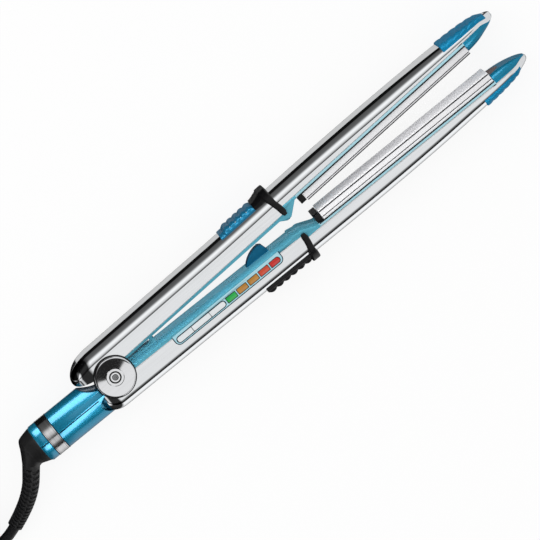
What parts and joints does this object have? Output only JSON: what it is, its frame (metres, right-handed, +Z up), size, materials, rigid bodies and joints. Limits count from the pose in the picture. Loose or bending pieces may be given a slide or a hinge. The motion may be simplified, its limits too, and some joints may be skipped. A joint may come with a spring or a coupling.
{
  "type": "hair straightener",
  "caption": "Hair straightener with two long hinged metal arms, floating heater plates, ribbed grips, a side key panel and a mains lead on a swivel.",
  "frame": {"origin": "on the axis of the main hinge, in the plane on which the straightener lies on its side", "axes": "+X along the lower arm from the hinge to its tip, +Y from the lower arm to the side on which the upper arm opens, +Z up along the hinge axis"},
  "size_m": [0.6543, 0.0718, 0.032],
  "materials": {
    "polished_steel": "polished",
    "teal_metallic": "metallic gloss",
    "teal_dark": "metallic gloss",
    "teal_light": "metallic satin",
    "black_satin": "satin",
    "black_rubber": "matte",
    "taupe_rubber": "matte",
    "plate_ceramic": "satin ceramic coat",
    "bare_steel": "plain",
    "band_steel": "brushed",
    "ceramic_white": "matte",
    "key_white": "satin",
    "lamp_green": "clear",
    "lamp_amber": "clear",
    "lamp_orange": "clear",
    "lamp_red": "clear",
    "board_green": "solder mask",
    "switch_grey": "plain",
    "contact_brass": "plain",
    "wire_red": "plain"
  },
  "bodies": {
    "lower_arm": {"lower_shell": "polished_steel", "lower_liner": "teal_metallic", "lower_carrier": "teal_metallic", "lower_nose_cap": "teal_metallic", "nose_bumper": "taupe_rubber", "lower_collar": "black_satin", "lower_tip_grip": "teal_metallic", "lower_end_block": "black_satin", "align_fin": "teal_dark", "key_panel": "teal_light", "lamp_green": "lamp_green", "lamps_amber": "lamp_amber", "lamp_orange": "lamp_orange", "lamp_red": "lamp_red", "circuit_board": "board_green", "key_switches": "switch_grey", "lower_plate_springs": "bare_steel", "hinge_pin": "bare_steel", "hinge_cap_top": "polished_steel", "hinge_cap_bottom": "polished_steel", "hinge_screws": "bare_steel", "opening_spring": "bare_steel", "tail_half_upper": "teal_metallic", "tail_half_lower": "teal_metallic", "tail_band": "band_steel", "tail_screws": "bare_steel", "slip_brushes": "contact_brass", "lower_wiring": "wire_red"},
    "upper_arm": {"upper_shell": "polished_steel", "upper_liner": "teal_metallic", "upper_carrier": "teal_metallic", "upper_nose_cap": "teal_metallic", "upper_collar": "black_satin", "thumb_grip": "teal_dark", "upper_tip_grip": "teal_metallic", "upper_end_block": "black_satin", "upper_plate_springs": "bare_steel", "upper_wiring": "wire_red"},
    "lower_float": {"lower_plate": "plate_ceramic", "lower_heater": "ceramic_white", "heat_sensor": "ceramic_white"},
    "upper_float": {"upper_plate": "plate_ceramic", "upper_heater": "ceramic_white", "thermal_fuse": "ceramic_white"},
    "power_key": {"key_power": "key_white"},
    "minus_key": {"key_minus": "key_white"},
    "plus_key": {"key_plus": "key_white"},
    "lead": {"swivel_boot": "black_satin", "slip_rings": "contact_brass", "strain_relief": "black_rubber", "cord_run": "black_rubber", "cord_hank": "black_rubber", "hank_tie": "black_rubber", "cord_lead_out": "black_rubber", "plug_body": "black_rubber", "plug_blades": "contact_brass"}
  },
  "joints": [
    {"name": "arm_hinge", "type": "hinge", "parent": "lower_arm", "child": "upper_arm", "pos_m": [0, 0, 0.016], "axis": [0, 0, 1], "range_deg": [-3, 0], "stiffness_Nm_per_rad": 6, "springref_deg": 4.58, "deforming": ["opening_spring"]},
    {"name": "lower_plate_float", "type": "slide", "parent": "lower_arm", "child": "lower_float", "axis": [0, -1, 0], "range_m": [0, 0.0008], "stiffness_N_per_m": 2000, "springref_m": -0.0005, "deforming": ["lower_plate_springs"]},
    {"name": "upper_plate_float", "type": "slide", "parent": "upper_arm", "child": "upper_float", "axis": [-0.0523, 0.9986, 0], "range_m": [0, 0.0008], "stiffness_N_per_m": 2000, "springref_m": -0.0005, "deforming": ["upper_plate_springs"]},
    {"name": "power_key_press", "type": "slide", "parent": "lower_arm", "child": "power_key", "axis": [0, 0, -1], "range_m": [0, 0.0005], "stiffness_N_per_m": 800, "springref_m": -0.0005},
    {"name": "minus_key_press", "type": "slide", "parent": "lower_arm", "child": "minus_key", "axis": [0, 0, -1], "range_m": [0, 0.0005], "stiffness_N_per_m": 800, "springref_m": -0.0005},
    {"name": "plus_key_press", "type": "slide", "parent": "lower_arm", "child": "plus_key", "axis": [0, 0, -1], "range_m": [0, 0.0005], "stiffness_N_per_m": 800, "springref_m": -0.0005},
    {"name": "lead_swivel", "type": "hinge", "parent": "lower_arm", "child": "lead", "pos_m": [-0.059, -0.0054, 0.016], "axis": [-1, 0, 0], "continuous": true}
  ]
}
